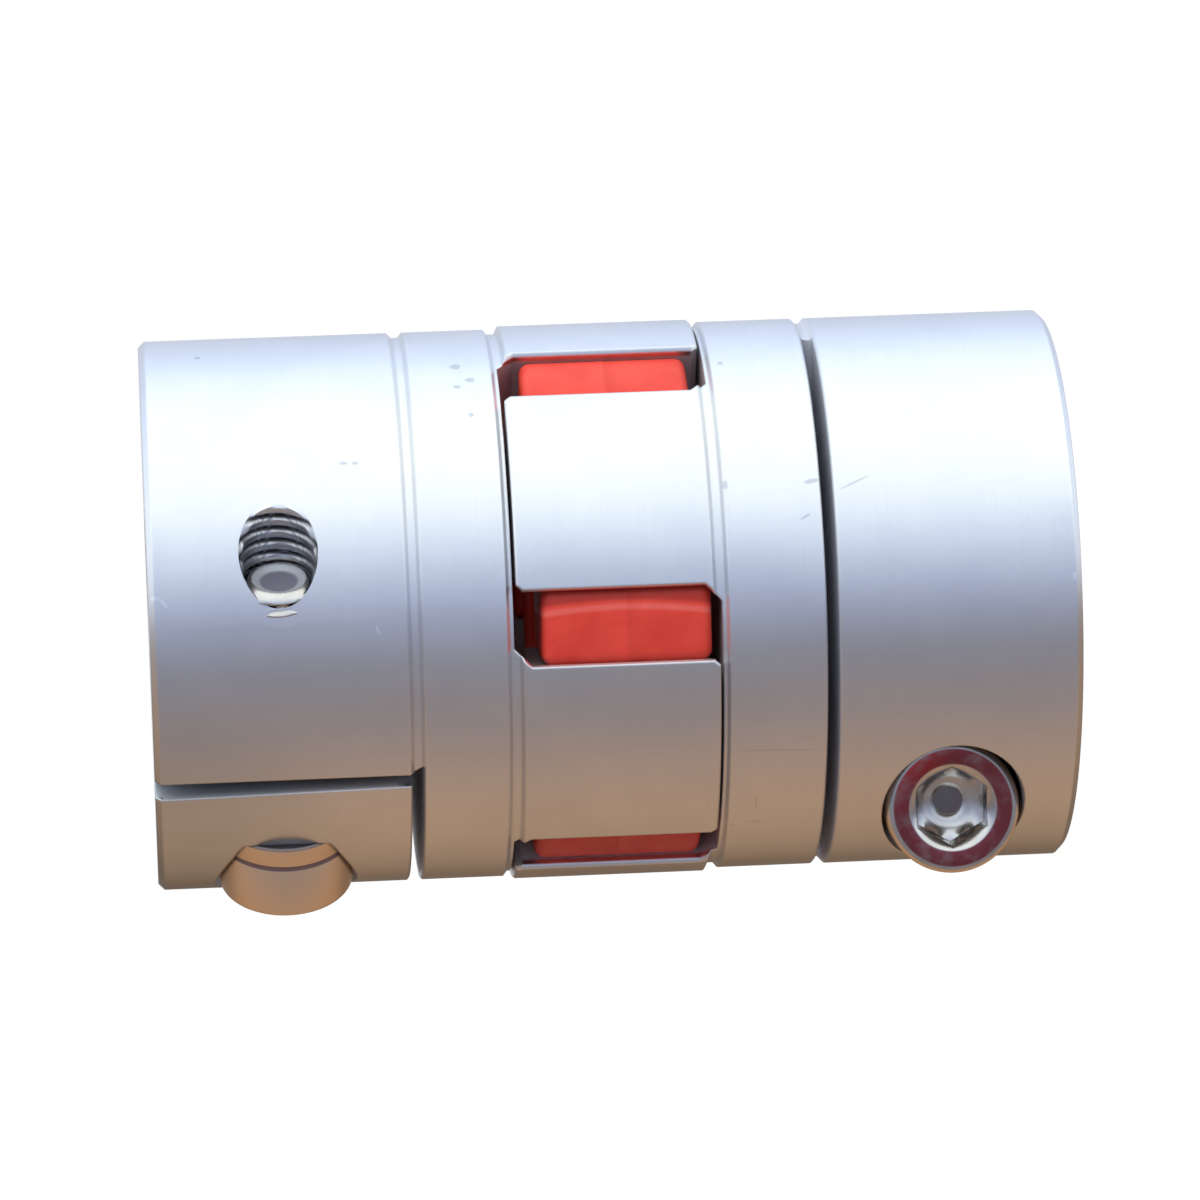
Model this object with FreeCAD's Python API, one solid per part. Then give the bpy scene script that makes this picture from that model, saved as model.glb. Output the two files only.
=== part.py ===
"""Jaw coupling in millimetres: two clamp hubs with three jaws each, a six-legged elastic spider between the
jaws, and a socket-head screw that closes each clamp. It stands on the lower hub's end face, axis along Z."""
import FreeCAD, Part
import math
import os

V = FreeCAD.Vector
Z_AXIS = V(0, 0, 1)
X_AXIS = V(1, 0, 0)

# Hub body
HUB_R = 20.0                # outside of the clamp and of the ring behind the jaws
HUB_BODY = 25.6             # end face to the root of the jaws
BORE_R = 7.0                # shaft bore
BORE_CHAMFER = 0.4
END_CHAMFER = 0.45          # outer edge of the end face

# Jaws and the space between the two hubs
JAW_COUNT = 3
JAW_ZONE = 14.8             # root of one hub's jaws to root of the other's
JAW_PROUD = 0.2             # jaws stand out past the hub
JAW_IN_R = 10.6             # inner face of the jaws
TIP_GAP = 0.25              # jaw tip to the facing hub
TIP_CHAMFER = (0.12, 0.15)  # radial and axial size at the outer edge of the tip
TIP_CORNER = 0.45           # chamfer between tip and flank
FOOT_CORNER = 1.2           # chamfer between flank and ring
JAW_EDGE = 0.3              # chamfer along the outer edges of the flanks

# Root groove, turned where the jaws leave the ring
ROOT_DEPTH = 0.37
ROOT_SLOPE = 0.3            # axial run of each side
ROOT_ON_RING = 0.2          # how far the groove's floor reaches over the ring
ROOT_ON_JAW = 0.38          # and over the jaws

# Turned groove and cross cut behind the clamp, each hub's place counted from its end face
CUT_WIDTH = 0.85
LOWER_CUT = 17.8
UPPER_CUT = 18.66
CUT_MIDDLE_DEG = 82.0       # direction of the cut's middle, counted from the middle of a jaw
CUT_FLOOR = (3.2, 2.63)     # the cut's slanted floor to the axis, on the clamp's and on the ring's side
GROOVE_DEPTH = 0.37
GROOVE_FLAT = 0.48
GROOVE_SLOPE = 0.33         # axial run of each side

# Clamp: its own frame has the screw along its second axis and is turned a little off a jaw's middle
CLAMP_TURN = -2.5           # degrees
SLIT_OFFSET = 1.3           # the slit's straight face, towards the screw head from the axis
SLIT_INNER = 1.05           # width at the cross cut
SLIT_END = 1.45             # width at the end face, where the arm stands open
SCREW_COVER = 5.85          # screw axis to the outside of the hub
LOWER_SCREW = 8.9           # screw axis to the end face of the lower hub
UPPER_SCREW = 9.25          # and of the upper hub
HEAD_SEAT = 8.0             # seat of the head, from the plane through the axis
POCKET_GAP = 0.25           # head to pocket, on the radius
PASS_GAP = 0.3              # shank to the plain hole in the head's arm
TAP_GAP = 0.05              # crest of the screw thread to the root of the tapped hole

# Clamp screw, M6
SCREW_R = 3.0
SCREW_LENGTH = 20.0
SCREW_TIP = 0.6             # chamfer of the tip
HEAD_R = 4.9
HEAD_HEIGHT = 6.0
HEAD_EDGE = 0.25            # chamfer of the head's upper edge
KEY_FLATS = 5.0             # hexagon socket
KEY_DEPTH = 3.0
KEY_EDGE = 0.25             # countersink of the socket's mouth past the hexagon's corners

# Spider
LEG_R = 19.5                # outer end of the legs
LEG_LENGTH = 12.0           # along the axis
LEG_HALF = 3.0              # half the thickness at the crown of the flanks
CROWN_AT = 15.6             # radius where the legs are thickest
FLANK_R = 18.0              # curve of the crowned flanks
LEG_GAP = 0.08              # leg to jaw
LEG_EDGE = 0.45             # chamfer along the edges of the legs
WEB_LENGTH = 10.5           # the ring that joins the legs, along the axis
WEB_GAP = 0.3               # ring to the inner faces of the jaws
WEB_HOLE_R = 9.0
SPIDER_DROP = 0.2           # the spider sits this much below the middle of its space

# Places that follow from the sizes
LENGTH = 2 * HUB_BODY + JAW_ZONE
JAW_R = HUB_R + JAW_PROUD
SCREW_OUT = HUB_R - SCREW_COVER
JAW_TOP = HUB_BODY + JAW_ZONE - TIP_GAP
JAW_PITCH = 360.0 / JAW_COUNT
LEG_PITCH = JAW_PITCH / 2
LOWER_TURN = -186.0         # the lower hub's first jaw in the assembly, degrees about Z
UPPER_TURN = LOWER_TURN + LEG_PITCH


def turned(shape, degrees):
    """The shape turned about Z."""
    out = shape.copy()
    out.rotate(V(0, 0, 0), Z_AXIS, degrees)
    return out


def revolved(points):
    """A solid of revolution about Z from (radius, height) points."""
    corners = [V(r, 0, z) for r, z in points]
    face = Part.Face(Part.makePolygon(corners + corners[:1]))
    return face.revolve(V(0, 0, 0), Z_AXIS, 360)


def polar(radius, degrees):
    """A point in the XY plane."""
    angle = math.radians(degrees)
    return V(radius * math.cos(angle), radius * math.sin(angle), 0)


def flank_half(x, gap=0.0):
    """Half the leg's thickness at distance x from the axis, grown by a gap."""
    reach = FLANK_R + gap
    return LEG_HALF - FLANK_R + math.sqrt(reach ** 2 - (x - CROWN_AT) ** 2)


def flank_point(x, side, leg_degrees, gap=0.0, lift=0.0):
    """A point on a leg's flank in the hub's plane; lift moves it away from the leg."""
    point = V(x, side * (flank_half(x, gap) + lift), 0)
    return Part.Vertex(point).rotated(V(0, 0, 0), Z_AXIS, leg_degrees).Point


def box_at(x, y, z):
    """A box from three (low, high) pairs."""
    size = [high - low for low, high in (x, y, z)]
    return Part.makeBox(*size, V(x[0], y[0], z[0]))


def hub_profile(cut_at):
    """The hub's turned outline up to the root of the jaws."""
    groove = HUB_R - GROOVE_DEPTH
    low = cut_at - GROOVE_FLAT / 2
    high = cut_at + GROOVE_FLAT / 2
    return [
        (BORE_R + BORE_CHAMFER, 0),
        (HUB_R - END_CHAMFER, 0),
        (HUB_R, END_CHAMFER),
        (HUB_R, low - GROOVE_SLOPE),
        (groove, low),
        (groove, high),
        (HUB_R, high + GROOVE_SLOPE),
        (HUB_R, HUB_BODY - ROOT_ON_RING - ROOT_SLOPE),
        (HUB_R - ROOT_DEPTH, HUB_BODY - ROOT_ON_RING),
        (HUB_R - ROOT_DEPTH, HUB_BODY),
        (BORE_R + BORE_CHAMFER, HUB_BODY),
        (BORE_R, HUB_BODY - BORE_CHAMFER),
        (BORE_R, BORE_CHAMFER),
    ]


def jaw_section(height, lift=0.0):
    """One jaw's outline across the axis, past its outer face; the flanks follow the legs, lift off them."""
    inner = JAW_IN_R - 1.0
    outer = math.sqrt((JAW_R - JAW_EDGE) ** 2 - flank_half(JAW_R, LEG_GAP) ** 2)
    middle = (inner + outer) / 2
    leg = LEG_PITCH / 2
    bevel = 2 * JAW_EDGE
    sides = []
    for side in (1, -1):
        along = [(inner, lift), (middle, lift), (outer, lift), (outer + bevel, lift + bevel)]
        points = [flank_point(x, -side, side * leg, LEG_GAP, away) for x, away in along]
        sides.append([point + V(0, 0, height) for point in points])
    left, right = sides
    edges = [
        Part.Arc(left[0], left[1], left[2]).toShape(),
        Part.LineSegment(left[2], left[3]).toShape(),
        Part.Arc(left[3], V(JAW_R + 1, 0, height), right[3]).toShape(),
        Part.LineSegment(right[3], right[2]).toShape(),
        Part.Arc(right[2], right[1], right[0]).toShape(),
        Part.LineSegment(right[0], left[0]).toShape(),
    ]
    return Part.Wire(edges)


def jaws():
    """The three jaws above the hub's face, wide at the foot, with the jaw side of the root groove."""
    flat_end = HUB_BODY + ROOT_ON_JAW
    blank = revolved([
        (JAW_IN_R, HUB_BODY),
        (HUB_R - ROOT_DEPTH, HUB_BODY),
        (HUB_R - ROOT_DEPTH, flat_end),
        (JAW_R, flat_end + ROOT_SLOPE),
        (JAW_R, JAW_TOP - TIP_CHAMFER[1]),
        (JAW_R - TIP_CHAMFER[0], JAW_TOP),
        (JAW_IN_R, JAW_TOP),
    ])
    levels = [
        (HUB_BODY, -FOOT_CORNER),
        (HUB_BODY + FOOT_CORNER, 0),
        (JAW_TOP - TIP_CORNER, 0),
        (JAW_TOP, TIP_CORNER),
    ]
    prism = Part.makeLoft([jaw_section(height, lift) for height, lift in levels], True, True)
    one = blank.common(prism)
    return [turned(one, k * JAW_PITCH) for k in range(JAW_COUNT)]


def clamp_slit(cut_at):
    """The slit that frees the clamp arm: one straight face, and one that opens towards the end face."""
    reach = HUB_R + 1
    open_rate = (SLIT_END - SLIT_INNER) / cut_at
    below = 1.0
    side = [
        V(0, SLIT_OFFSET, -below),
        V(0, SLIT_OFFSET + SLIT_END + open_rate * below, -below),
        V(0, SLIT_OFFSET + SLIT_INNER, cut_at),
        V(0, SLIT_OFFSET, cut_at),
    ]
    return Part.Face(Part.makePolygon(side + side[:1])).extrude(V(reach, 0, 0))


def screw_holes(screw_at):
    """The head's pocket, the plain hole in the arm and the tapped hole that runs out of the far side."""
    reach = HUB_R + 2
    centre = V(SCREW_OUT, 0, screw_at)
    along = V(0, 1, 0)
    seat = centre + along * HEAD_SEAT
    pocket = Part.makeCylinder(HEAD_R + POCKET_GAP, reach, seat, along)
    start = centre + along * SLIT_OFFSET
    plain = Part.makeCylinder(SCREW_R + PASS_GAP, HEAD_SEAT - SLIT_OFFSET, start, along)
    tapped = Part.makeCylinder(SCREW_R + TAP_GAP, reach + SLIT_OFFSET, centre - along * reach, along)
    return [pocket, plain, tapped]


def cross_cut(cut_at):
    """The saw cut that separates the arm from the ring, with a slanted floor past the bore."""
    reach = HUB_R + 2
    low = cut_at - CUT_WIDTH / 2
    high = cut_at + CUT_WIDTH / 2
    corners = [(CUT_FLOOR[0], low), (reach, low), (reach, high), (CUT_FLOOR[1], high)]
    side = [V(-reach, y, z) for y, z in corners]
    slab = Part.Face(Part.makePolygon(side + side[:1])).extrude(V(2 * reach, 0, 0))
    return turned(slab, CUT_MIDDLE_DEG - 90)


def hub(cut_at, screw_at):
    """One hub, end face at Z = 0, jaws upwards, first jaw along X."""
    body = revolved(hub_profile(cut_at))
    for jaw in jaws():
        body = body.fuse(jaw)
    for tool in [clamp_slit(cut_at)] + screw_holes(screw_at):
        body = body.cut(turned(tool, CLAMP_TURN))
    return body.cut(cross_cut(cut_at)).removeSplitter()


def key_socket():
    """The hexagon socket with its drilled floor and countersunk mouth, head top at Z = HEAD_HEIGHT."""
    corner_r = KEY_FLATS / math.sqrt(3)
    floor = HEAD_HEIGHT - KEY_DEPTH
    corners = [polar(corner_r, 60 * k) + V(0, 0, floor) for k in range(6)]
    hexagon = Part.Face(Part.makePolygon(corners + corners[:1])).extrude(V(0, 0, KEY_DEPTH))
    drill_r = 0.9 * KEY_FLATS / 2
    drill = Part.makeCone(0, drill_r, drill_r / math.sqrt(3), V(0, 0, floor - drill_r / math.sqrt(3)))
    mouth_r = corner_r + KEY_EDGE
    mouth = Part.makeCone(mouth_r - 2 * KEY_EDGE, mouth_r, 2 * KEY_EDGE, V(0, 0, HEAD_HEIGHT - 2 * KEY_EDGE))
    return hexagon.fuse(drill).fuse(mouth)


def screw():
    """The clamp screw along Z, with the head's seat at Z = 0 and the head above it."""
    body = revolved([
        (0, -SCREW_LENGTH),
        (SCREW_R - SCREW_TIP, -SCREW_LENGTH),
        (SCREW_R, SCREW_TIP - SCREW_LENGTH),
        (SCREW_R, 0),
        (HEAD_R, 0),
        (HEAD_R, HEAD_HEIGHT - HEAD_EDGE),
        (HEAD_R - HEAD_EDGE, HEAD_HEIGHT),
        (0, HEAD_HEIGHT),
    ])
    return body.cut(key_socket())


def screw_in_hub(screw_at):
    """The screw seated in a hub that has its end face at Z = 0."""
    out = screw()
    out.rotate(V(0, 0, 0), X_AXIS, -90)
    out.translate(V(SCREW_OUT, HEAD_SEAT, screw_at))
    return turned(out, CLAMP_TURN)


def leg():
    """One spider leg along X: crowned flanks, a round outer end and chamfered edges."""
    inner = (WEB_HOLE_R + JAW_IN_R) / 2
    outer = math.sqrt(LEG_R ** 2 - flank_half(LEG_R) ** 2)
    middle = (inner + outer) / 2
    low = [flank_point(x, -1, 0) for x in (inner, middle, outer)]
    high = [flank_point(x, 1, 0) for x in (inner, middle, outer)]
    outline = Part.Wire([
        Part.Arc(low[0], low[1], low[2]).toShape(),
        Part.Arc(low[2], V(LEG_R, 0, 0), high[2]).toShape(),
        Part.Arc(high[2], high[1], high[0]).toShape(),
        Part.LineSegment(high[0], low[0]).toShape(),
    ])
    solid = Part.Face(outline).extrude(V(0, 0, LEG_LENGTH))
    solid.translate(V(0, 0, -LEG_LENGTH / 2))
    edges = [edge for edge in solid.Edges if edge.CenterOfMass.x > inner + 0.1]
    return solid.makeChamfer(LEG_EDGE, edges)


def spider():
    """Six legs on a ring, its middle at Z = 0."""
    ring_r = JAW_IN_R - WEB_GAP
    foot = V(0, 0, -WEB_LENGTH / 2)
    body = Part.makeCylinder(ring_r, WEB_LENGTH, foot)
    one = leg()
    for k in range(2 * JAW_COUNT):
        body = body.fuse(turned(one, (k + 0.5) * LEG_PITCH))
    hole = Part.makeCylinder(WEB_HOLE_R, 2 * LEG_LENGTH, V(0, 0, -LEG_LENGTH))
    return body.cut(hole).removeSplitter()


def in_lower_place(shape):
    """A shape made for a hub, at the lower hub's place."""
    return turned(shape, LOWER_TURN)


def in_upper_place(shape):
    """A shape made for a hub, turned over and put at the upper hub's place."""
    out = shape.copy()
    out.rotate(V(0, 0, 0), X_AXIS, 180)
    out = turned(out, UPPER_TURN)
    out.translate(V(0, 0, LENGTH))
    return out


def spider_in_place():
    """The spider between the two sets of jaws."""
    out = turned(spider(), LOWER_TURN)
    out.translate(V(0, 0, LENGTH / 2 - SPIDER_DROP))
    return out


def main():
    """Builds every piece and writes one STEP file each."""
    pieces = {
        "lower_hub": in_lower_place(hub(LOWER_CUT, LOWER_SCREW)),
        "upper_hub": in_upper_place(hub(UPPER_CUT, UPPER_SCREW)),
        "spider": spider_in_place(),
        "lower_clamp_screw": in_lower_place(screw_in_hub(LOWER_SCREW)),
        "upper_clamp_screw": in_upper_place(screw_in_hub(UPPER_SCREW)),
    }
    os.makedirs("parts", exist_ok=True)
    for node, shape in pieces.items():
        shape.exportStep("parts/%s.step" % node)
        print(node, "valid", shape.isValid(), "solids", len(shape.Solids), "mm3", round(shape.Volume, 1))


main()
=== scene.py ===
"""Looks of the jaw coupling: the finishes of the hubs, the rounded spider, the threaded clamp screws
and holes, and a plain studio seen from the photograph's side. Sizes are in millimetres, and turned to
metres when used."""

import math

import bmesh
import bpy
from mathutils import Matrix, Vector


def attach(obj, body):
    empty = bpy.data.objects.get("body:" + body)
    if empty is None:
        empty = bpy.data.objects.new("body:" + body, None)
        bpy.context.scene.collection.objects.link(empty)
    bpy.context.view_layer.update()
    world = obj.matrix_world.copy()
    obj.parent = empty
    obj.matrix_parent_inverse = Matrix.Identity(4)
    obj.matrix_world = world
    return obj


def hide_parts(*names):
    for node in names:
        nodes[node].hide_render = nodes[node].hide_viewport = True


MM = 0.001
ROUND_STEPS = 96            # vertices round a screw and round the spider's ring

# Coupling, as in the solids
HUB_R = 20.0
LENGTH = 66.0
BORE_R = 7.0
LOWER_TURN = -186.0         # first jaw of the lower hub, degrees about Z
UPPER_TURN = -126.0
CLAMP_TURN = -2.5           # clamp frame to jaw frame
JAW_COUNT = 3

# Clamp screws, M6, in the clamp frame
SCREW_OUT = 14.15           # screw axis to coupling axis
LOWER_SCREW = 8.9           # screw axis to the hub's end face
UPPER_SCREW = 9.25
HEAD_SEAT = 8.0
SCREW_LENGTH = 20.0
SCREW_R = 2.97              # crest of the screw thread
SCREW_ROOT_R = 2.42
PITCH = 1.0
CREST_FLAT = 0.125          # shares of a pitch
ROOT_FLAT = 0.25
THREAD_START = 0.27         # share of a pitch by which the screw's thread starts further in
THREAD_LENGTH = 17.5        # threaded part of the shank
NECK = 0.2                  # a ring of vertices this far under the head keeps the shading even

# The screw's dished tip as (radius, rise) and its rounded edge as (distance from the tip, radius)
TIP_END = ((0.0, -0.32), (0.9, -0.32), (1.2, -0.31), (1.35, -0.26), (1.75, -0.05), (1.95, 0.0))
TIP_EDGE = ((0.0, 1.95), (0.04, 2.1), (0.15, 2.33), (0.4, 2.62), (0.75, 2.85), (1.05, 2.97))

# The screw's head and its hexagon socket
HEAD_R = 4.82
HEAD_HEIGHT = 6.0
HEAD_EDGE = 0.5             # round of the head's upper edge
HEAD_FOOT = 0.15
KEY_FLATS = 5.0
KEY_DEPTH = 2.4             # to the foot of the socket's flats
KEY_EDGE = 0.25
KEY_RIM = (0.06, 0.02)      # width and drop of the fine break round the socket's mouth
HEAD_GROOVE = (1.48, 1.6, 1.86, 1.98)    # levels of the fine groove turned in the head
HEAD_GROOVE_DEPTH = 0.06

# The socket's floor as (radius, drop below the flats)
KEY_FLOOR = ((2.35, 0.15), (1.95, 0.42), (1.5, 0.62), (1.1, 0.72), (1.02, 0.80), (0.0, 0.80))

# Thread of the tapped holes
HOLE_ROOT_R = 2.92
HOLE_CREST_R = 2.50
HOLE_LIP = (2.80, 2.52)     # where the ridges run out at the mouth: most of the way, nearest side
HOLE_WALL_R = 3.045         # the ridges' back, just inside the wall of the hole
HOLE_DEPTH = 5.0            # ridges are made this far in from the outside
MOUTH_R = 3.27              # the mouth's flush rim, over the edge of the plain hole
MOUTH_RISE = 0.005
MOUTH_SINK = 0.12
HOLE_START = 0.05           # share of a pitch by which the ridges start further round
HOLE_RUNOUT = 0.5           # the ridges fade into the mouth over this length
HOLE_STEPS = 12             # levels of vertices over a pitch
MOUTH_STEPS = 4             # rings of vertices across the flush rim

# Spider
LEG_R = 19.5
LEG_LENGTH = 12.0
LEG_HALF = 3.0
CROWN_AT = 15.6
FLANK_R = 18.0
LEG_ROUND = 0.8
WEB_LENGTH = 10.5
WEB_HOLE_R = 9.0
WEB_R = 10.3
WEB_EDGE = 0.3              # bevel of the ring's edges
CORNER_STEP = 0.001         # step of the search for a leg's outer corners
SPIDER_MIDDLE = 32.8        # height of the spider's middle
FRONT_LEG = 1               # this leg hangs lower than the others
FRONT_LEG_DROP = 0.45
SEAM_HEIGHT = 0.045         # mould line on the legs
SEAM_HALF = 0.09

# Small marks on the hubs: direction in degrees, height, half sizes round the hub and along it, slant in
# degrees a millimetre
SMUDGES = (
    (-32.2, 43.40, 0.36, 0.38, 0), (-37.4, 42.43, 0.28, 0.34, 0), (-39.6, 43.41, 0.20, 0.26, 0),
    (-48.3, 42.59, 0.22, 0.22, 0), (-59.5, 51.88, 0.14, 0.30, 0), (-59.6, 51.04, 0.14, 0.22, 0),
    (-23.4, 61.79, 0.26, 0.22, 0), (-67.8, 25.00, 0.32, 0.18, 0), (-75.2, 19.45, 0.10, 0.34, -1.5),
    (-34.5, 24.40, 0.22, 0.20, 0), (-67.6, 18.85, 0.18, 0.52, -0.5),
    (-68.1, 15.70, 0.07, 1.15, -1.3),
)
NICKS = (
    (-54.0, 40.44, 0.18, 0.24, 0), (-95.0, 49.96, 0.26, 0.18, 4), (-86.9, 65.60, 0.16, 0.26, 0),
    (-87.9, 64.95, 0.16, 0.30, 3), (-89.5, 0.56, 0.28, 0.16, 0),
)
FAINT_LINES = (
    (-124.6, 21.70, 0.07, 3.20, 0.1), (-146.5, 24.74, 0.22, 0.16, 0), (-145.5, 23.20, 0.14, 0.55, 0),
    (-139.0, 23.20, 0.80, 0.09, 0),
)
MARKS = ((SMUDGES, 0.6, "smudge"), (FAINT_LINES, 0.25, "faint"), (NICKS, 0.8, "nick"))

# Zones of the hubs' finish and of the shade painted into their cuts: distances from the coupling's
# middle, and from its axis
CLAMP_ZONE = 15.2
JAW_ZONE = 8.0
CROSS_CUT = 14.8
SUNK_R = 19.6               # metal nearer the axis than this lies in a cut
SKIN_R = 19.97              # the same for the milled faces by the clamps
END_FACE = LENGTH / 2
FILM_HEIGHTS = (50.0, 63.0)         # a dull film comes in over these heights of the upper hub
FILM_BELOW = (-105, -130)           # and over these directions, in degrees
FILM_BEHIND = (150, 175)

# Screws' finish and painted shade: pairs of distances from the screw's axis between which a look comes
# in
FACE_RING_IN = (3.1, 3.25)
FACE_RING_OUT = (HEAD_R - 0.45, HEAD_R - 0.6)
HEAD_SIDE = (HEAD_R - 0.3, HEAD_R - 0.15)
SOCKET = (3.15, 3.0)
SOCKET_END_SHADE = (1.09, 1.02)
TIP_FACE = (2.0, 1.8)
# where the painted shade in the middle of the tip comes in
TIP_MIDDLE_SHADE = (1.5, 1.2)

# The painted highlight band along the upper rounded edge of the spider's front leg: direction in
# degrees, and its bow towards both ends
HIGHLIGHT_AT = -92.2
HIGHLIGHT_BOW = 0.022
HIGHLIGHT_HALF = (0.018, 0.003)           # half its width in radians, at its faint rim and in its middle
SHADOW_AT = (HIGHLIGHT_AT + 0.9, HIGHLIGHT_AT + 2.0)     # painted shadow on the leg past the band, in degrees

# Colours, linear
HUB_TONES = {
    "dark": (0.755, 0.765, 0.795, 1), "light": (0.80, 0.805, 0.825, 1), "line": (0.70, 0.71, 0.745, 1),
    "speck": (0.52, 0.54, 0.60, 1), "smudge": (0.40, 0.43, 0.52, 1), "faint": (0.42, 0.38, 0.36, 1),
    "nick": (0.95, 0.95, 0.97, 1), "worn": (0.88, 0.88, 0.90, 1), "film": (0.34, 0.42, 0.50, 1),
    # the tones of the cuts' rims and depths and of the jaws' sides are painted shade; the cross cut's
    # tone is close to the hub's own
    "cut_edge_shade": (0.52, 0.50, 0.51, 1), "cut_deep_shade": (0.07, 0.062, 0.058, 1),
    "jaw_side_shade": (0.48, 0.45, 0.46, 1), "cross_cut": (0.74, 0.75, 0.80, 1),
    # the hole tones are painted shade inside the tapped holes, darkest in the thread's roots
    "hole": (0.30, 0.31, 0.35, 1), "hole_root_shade": (0.12, 0.12, 0.135, 1),
}
SPIDER_TONES = {
    "dark": (0.78, 0.050, 0.030, 1), "light": (0.86, 0.070, 0.044, 1), "worn": (0.90, 0.15, 0.11, 1),
    # the next two tones are a painted highlight on the front leg's upper edge and a painted shadow on
    # the leg past it
    "highlight_band": (0.95, 0.20, 0.16, 1), "painted_shadow": (0.30, 0.015, 0.012, 1),
}
STEEL_TONES = {
    "dark": (0.56, 0.54, 0.52, 1), "light": (0.66, 0.645, 0.625, 1), "worn": (0.80, 0.79, 0.77, 1),
    # the tone for the socket's end, on the next line, is painted shade
    "tint": (0.29, 0.042, 0.052, 1), "tint_red": (0.62, 0.020, 0.028, 1), "socket_shade": (0.14, 0.11, 0.12, 1),
    # the tones for the head's foot and underside, on the next line, are painted shadow at its seat
    "flank": (0.88, 0.70, 0.52, 1), "foot": (0.15, 0.12, 0.13, 1), "under": (0.12, 0.10, 0.10, 1),
    # on the next line, the groove tone is painted shade, the tip tone a dull finish tinted blue-grey as
    # a painted reflection, and the tip's middle tone painted shade
    "groove": (0.26, 0.19, 0.22, 1), "tip": (0.42, 0.46, 0.54, 1), "tip_middle_shade": (0.22, 0.215, 0.27, 1),
}
RED_SIDE = (0.70, 0.0, 0.70)    # where the face of a head turns from dark to red, from its middle

# What reflections and fill light see round the coupling's axis: degrees up from in front, and colour
ROOM = (
    (-180, (0.95, 0.95, 0.97)), (-172, (0.20, 0.17, 0.15)), (-155, (0.16, 0.105, 0.065)),
    (-140, (0.33, 0.215, 0.14)), (-115, (0.47, 0.31, 0.193)), (-92, (0.50, 0.33, 0.22)),
    (-70, (0.43, 0.31, 0.245)), (-50, (0.32, 0.27, 0.255)), (-22, (0.27, 0.275, 0.32)),
    (0, (0.44, 0.50, 0.685)), (22, (0.81, 0.92, 1.11)), (42, (1.24, 1.35, 1.40)),
    (60, (1.37, 1.42, 1.42)), (92, (1.35, 1.43, 1.42)), (112, (1.13, 1.31, 1.35)),
    (132, (0.86, 0.96, 1.26)), (150, (0.71, 0.79, 0.94)), (172, (0.62, 0.64, 0.70)),
    (180, (0.95, 0.95, 0.97)),
)

# Camera, fitted to the photograph
CAMERA_AT = (-3.444, -505.92, 66.9)
CAMERA_PAN = 3.842          # degrees, along the coupling
CAMERA_TILT = 0.378
CAMERA_ROLL = -2.234
CAMERA_LENS = 207.56
SENSOR = 36.0

# Lamp
LAMP_FROM = (0.70, -0.70, 0.15)     # direction it shines from
LAMP_STRENGTH = 1.65
LAMP_SPREAD = 30.0


def to_row(point):
    """A direction with X right, Y forward and Z up in the photograph, in the row frame."""
    return Vector((point[2], point[1], -point[0]))


def clamp_place(upper):
    """Matrix from a clamp's own frame, in millimetres, to the row frame, in millimetres."""
    clamp = Matrix.Rotation(math.radians(CLAMP_TURN), 4, "Z")
    if not upper:
        return Matrix.Rotation(math.radians(LOWER_TURN), 4, "Z") @ clamp
    over = Matrix.Rotation(math.radians(UPPER_TURN), 4, "Z") @ Matrix.Rotation(math.pi, 4, "X")
    return Matrix.Translation((0, 0, LENGTH)) @ over @ clamp


def screw_place(upper):
    """Matrix from a screw's own frame, axis along Z and seat at Z = 0, to the row frame."""
    height = UPPER_SCREW if upper else LOWER_SCREW
    seat = Matrix.Translation((SCREW_OUT, HEAD_SEAT, height))
    return clamp_place(upper) @ seat @ Matrix.Rotation(-math.pi / 2, 4, "X")


def smooth_by_angle(mesh, degrees):
    """Smooth shading with sharp edges over an angle."""
    mesh.polygons.foreach_set("use_smooth", [True] * len(mesh.polygons))
    mesh.set_sharp_from_angle(angle=math.radians(degrees))


def new_piece(name, vertices, faces, place, sharp=35.0):
    """A closed mesh object from millimetre vertices, set in its place in the row frame."""
    mesh = bpy.data.meshes.new(name)
    points = [(place @ Vector(v)) * MM for v in vertices]
    mesh.from_pydata(points, [], faces)
    bm = bmesh.new()
    bm.from_mesh(mesh)
    bmesh.ops.remove_doubles(bm, verts=bm.verts, dist=1e-7)
    bmesh.ops.dissolve_degenerate(bm, edges=bm.edges, dist=1e-7)
    bmesh.ops.recalc_face_normals(bm, faces=bm.faces)
    bm.to_mesh(mesh)
    bm.free()
    smooth_by_angle(mesh, sharp)
    piece = bpy.data.objects.new(name, mesh)
    bpy.context.scene.collection.objects.link(piece)
    return piece


def skin(rings, closed_loop=False):
    """Vertices and faces of a tube through rings of equal count. A closed loop joins its two ends."""
    count = len(rings[0])
    vertices = [p for ring in rings for p in ring]
    faces = []
    pairs = list(zip(range(len(rings) - 1), range(1, len(rings))))
    if closed_loop:
        pairs.append((len(rings) - 1, 0))
    for a, b in pairs:
        for k in range(count):
            n = (k + 1) % count
            faces.append((a * count + k, a * count + n, b * count + n, b * count + k))
    return vertices, faces


def circle(radius, z, count):
    """Points of a circle about Z."""
    return [(radius * math.cos(a), radius * math.sin(a), z)
            for a in (2 * math.pi * k / count for k in range(count))]


def thread_form(x):
    """0 in the root and 1 on the crest of a 60 degree thread, over one pitch."""
    x = x % 1.0
    flank = (1 - CREST_FLAT - ROOT_FLAT) / 2
    if x < CREST_FLAT:
        return 1.0
    if x < CREST_FLAT + flank:
        return 1.0 - (x - CREST_FLAT) / flank
    if x < 1 - flank:
        return 0.0
    return min(1.0, (x - 1 + flank) / flank)


def between(x, points):
    """The value at x on a line through (x, value) points, level past its ends."""
    for (low, first), (high, last) in zip(points, points[1:]):
        if x < high:
            return first + (last - first) * max(0.0, x - low) / (high - low)
    return points[-1][1]


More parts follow.
